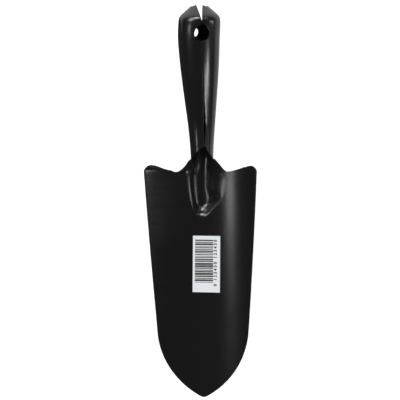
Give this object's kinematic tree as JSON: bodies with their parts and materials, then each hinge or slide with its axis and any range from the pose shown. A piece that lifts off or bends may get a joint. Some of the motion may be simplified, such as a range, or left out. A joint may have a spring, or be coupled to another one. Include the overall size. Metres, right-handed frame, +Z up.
{
  "type": "hand trowel",
  "caption": "Garden hand trowel pressed from sheet steel: trough blade with a blunt point, pressed neck channel and rolled open-seam handle with a hanging hole; paper price label.",
  "frame": {"origin": "middle of the outline on the plane the trowel lies on, blade hollow upwards", "axes": "+Y along the tool from the blade's point to the handle's end, +Z up out of the blade's hollow, +X to the right"},
  "size_m": [0.081, 0.28, 0.0364],
  "materials": {
    "trowel_body": "satin black paint, smooth",
    "barcode_label": "matt white self-adhesive paper with black print"
  },
  "bodies": {
    "root": {"trowel_body": "trowel_body", "barcode_label": "barcode_label"}
  },
  "joints": []
}
